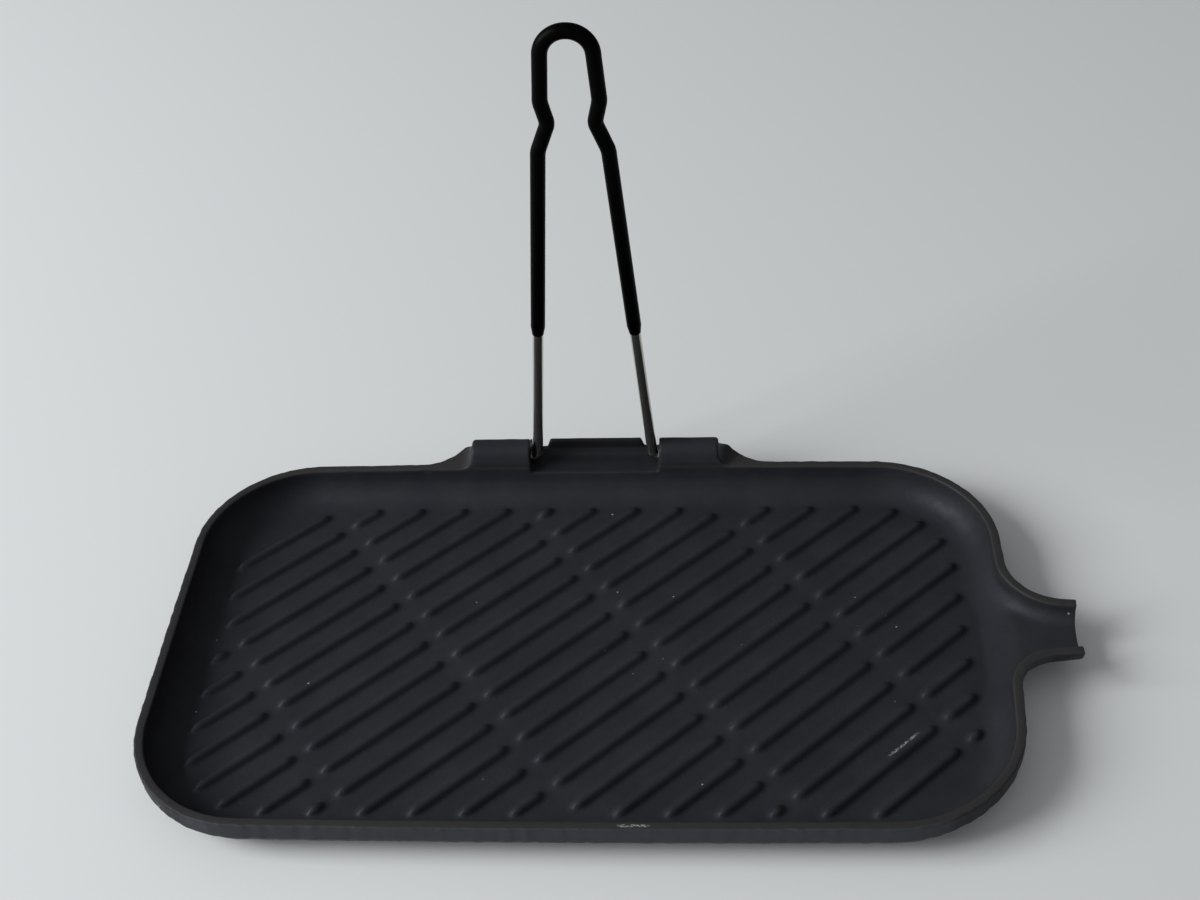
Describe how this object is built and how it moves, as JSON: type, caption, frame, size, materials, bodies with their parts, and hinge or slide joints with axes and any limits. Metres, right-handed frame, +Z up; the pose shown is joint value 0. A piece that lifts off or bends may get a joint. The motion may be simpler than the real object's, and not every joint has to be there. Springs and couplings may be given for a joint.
{
  "type": "folding-handle grill pan",
  "caption": "Rectangular ribbed cast iron grill pan with a side pouring spout and a folding wire handle in a sleeve grip.",
  "frame": {"origin": "centre of the resting face, under the middle of the rectangular rim", "axes": "+X towards the pouring spout, +Y towards the hinge lug, +Z up; the handle stands upright at rest"},
  "size_m": [0.386, 0.2203, 0.2422],
  "materials": {
    "cast_iron": "seasoned matte black cast iron with fine sand grain",
    "steel_wire": "drawn stainless steel wire",
    "grip_sleeve": "dipped black silicone sleeve, low sheen"
  },
  "bodies": {
    "pan": {"pan_casting": "cast_iron"},
    "handle": {"handle_wire": "steel_wire", "handle_grip": "grip_sleeve"}
  },
  "joints": [
    {"name": "handle_fold", "type": "hinge", "parent": "pan", "child": "handle", "pos_m": [0, 0.1082, 0.0203], "axis": [1, 0, 0], "range_deg": [-67, 89]}
  ]
}
